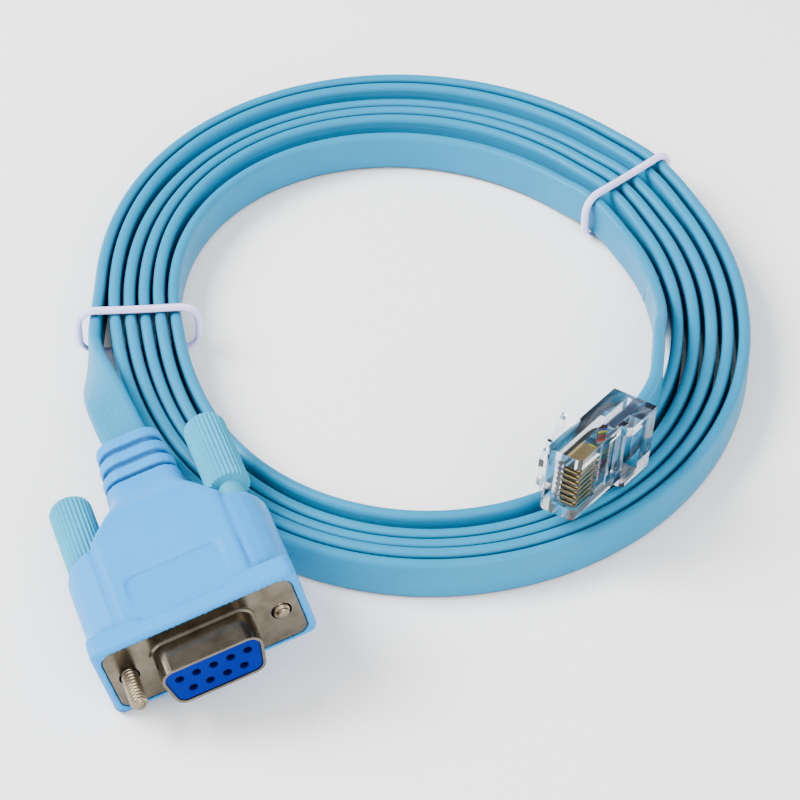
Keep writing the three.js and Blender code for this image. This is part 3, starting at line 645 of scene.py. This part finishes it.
for side, (x, drawn) in SCREWS.items():
    tip = ROD_OUT - drawn
    thread_start = tip - THREAD_LENGTH
    rod_start = BOSS_END - GRIP_GAP - GRIP_LENGTH + ROD_BACK - drawn
    rings = [(rod_start, plain(ROD_RADIUS)), (thread_start - 0.1, plain(ROD_RADIUS))]
    count = int(THREAD_LENGTH / THREAD_PITCH * THREAD_STEPS)
    for k in range(count + 1):
        z = thread_start + THREAD_LENGTH * k / count
        rings.append((z, threaded(z, tip)))
    rod = turned(f"thumbscrew_rod_{side}", x, rings, 40, on_connector)
    rod.data.materials.append(screw_steel)
    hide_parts(f"screw_rod_{side}")
    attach(rod, f"screw_rod_{side}")
    print(rod.name, len(rod.data.polygons), "faces")

# %% [markdown]
# Inside the clear plug the eight cores leave the jacket and run side by side under the gold blades. Each
# has its own colour, and they fan out slightly from the jacket, so they are short swept tubes.

# %% Cores in the plug
CORES = {
    "black": ("2b1d16", "1d130e"), "blue": ("1f46d8", "1736b0"), "yellow": ("e8d824", "cfbd12"),
    "green": ("1f9242", "177534"), "crimson": ("b8203f", "981832"), "grey": ("44444c", "34343a"),
    "orange": ("e04a22", "c23c18"), "white": ("a8abb4", "94979f"),
}
PLUG_CORE_PITCH = 1.02
CORE_RADIUS = 0.45
CORE_X = 2.5
CORE_TIP = 20.7
CORE_FAN = [(PLUG_CABLE_X, 0.88, 8.0), (3.9, 0.9, 8.6), (2.9, 0.97, 10.2)]
plug_pieces = []
for i, (name, (shade, deep)) in enumerate(CORES.items()):
    y = (3.5 - i) * PLUG_CORE_PITCH
    control = [on_plug(x, y * spread, z) for x, spread, z in CORE_FAN]
    control += [on_plug(CORE_X, y, z) for z in (12, 16, CORE_TIP)]
    core_line = eased(control, 6)
    ways = [plug_frame.to_3x3() @ Vector((0, 1, 0))] * len(core_line)
    core = swept(f"wire_{name}", core_line, ways, rounded_section(CORE_RADIUS, CORE_RADIUS, CORE_RADIUS, 4))
    core.data.materials.append(moulded_plastic(f"{name} core insulation", shade, deep, rough=0.35))
    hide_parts(f"core_{name}")
    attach(core, "cable")
    plug_pieces.append(core)
print("cores:", len(plug_pieces))

# %% [markdown]
# The cable's length is summed along its line where it is swept. A flat cord's diameter is its width.

# %% The cord
print("cord: length summed with the sweep")

# %% [markdown]
# Product photographs of this kind are lit through big white screens, so shadows are faint and wide. One
# large light stands to the left, one in front to the right, and the white room fills the rest. Behind the
# table hangs one dark cloth, which the shiny faces mirror, so metal has contrast and blue stays blue.

# %% Floor and light
floor_mesh = bpy.data.meshes.new("white table")
floor_mesh.from_pydata([(-4, -4, 0), (4, -4, 0), (4, 4, 0), (-4, 4, 0)], [], [(0, 1, 2, 3)])
floor = bpy.data.objects.new("white_table", floor_mesh)
floor.location.z = -0.00005
bpy.context.collection.objects.link(floor)
paper = bpy.data.materials.new("white paper")
paper.use_nodes = True
paper.node_tree.nodes["Principled BSDF"].inputs["Base Color"].default_value = grey(0.92)
paper.node_tree.nodes["Principled BSDF"].inputs["Roughness"].default_value = 0.8
floor_mesh.materials.append(paper)


def softbox(name, place, aim, size, watts):
    data = bpy.data.lights.new(name, "AREA")
    data.size = size
    data.energy = watts
    made = bpy.data.objects.new(name, data)
    made.location = place
    made.rotation_euler = (Vector(aim) - Vector(place)).to_track_quat("-Z", "Y").to_euler()
    bpy.context.collection.objects.link(made)


softbox("key screen", (-0.75, 0.15, 0.75), (0, 0.04, 0), 0.6, 32)
softbox("front screen", (0.5, -0.9, 0.8), (0, 0.04, 0), 0.8, 16)
room = bpy.data.worlds.new("white room")
room.use_nodes = True
sky = room.node_tree
direction = add(sky, "TexCoord").outputs["Generated"]
toward_flag = add(sky, "VectorMath", {"operation": "DOT_PRODUCT"}, i0=direction, i1=(-0.17, 0.71, 0.68))
tone = blended(sky, toward_flag.outputs["Value"], [(0.72, grey(1)), (0.92, grey(0.1))])
sky.links.new(tone, sky.nodes["Background"].inputs["Color"])
sky.nodes["Background"].inputs["Strength"].default_value = 1.5
bpy.context.scene.world = room
print("lights and floor set")

# %% [markdown]
# Last, the scene is brought up to date. The looks never change the object's size.

# %% Finish
bpy.context.view_layer.update()
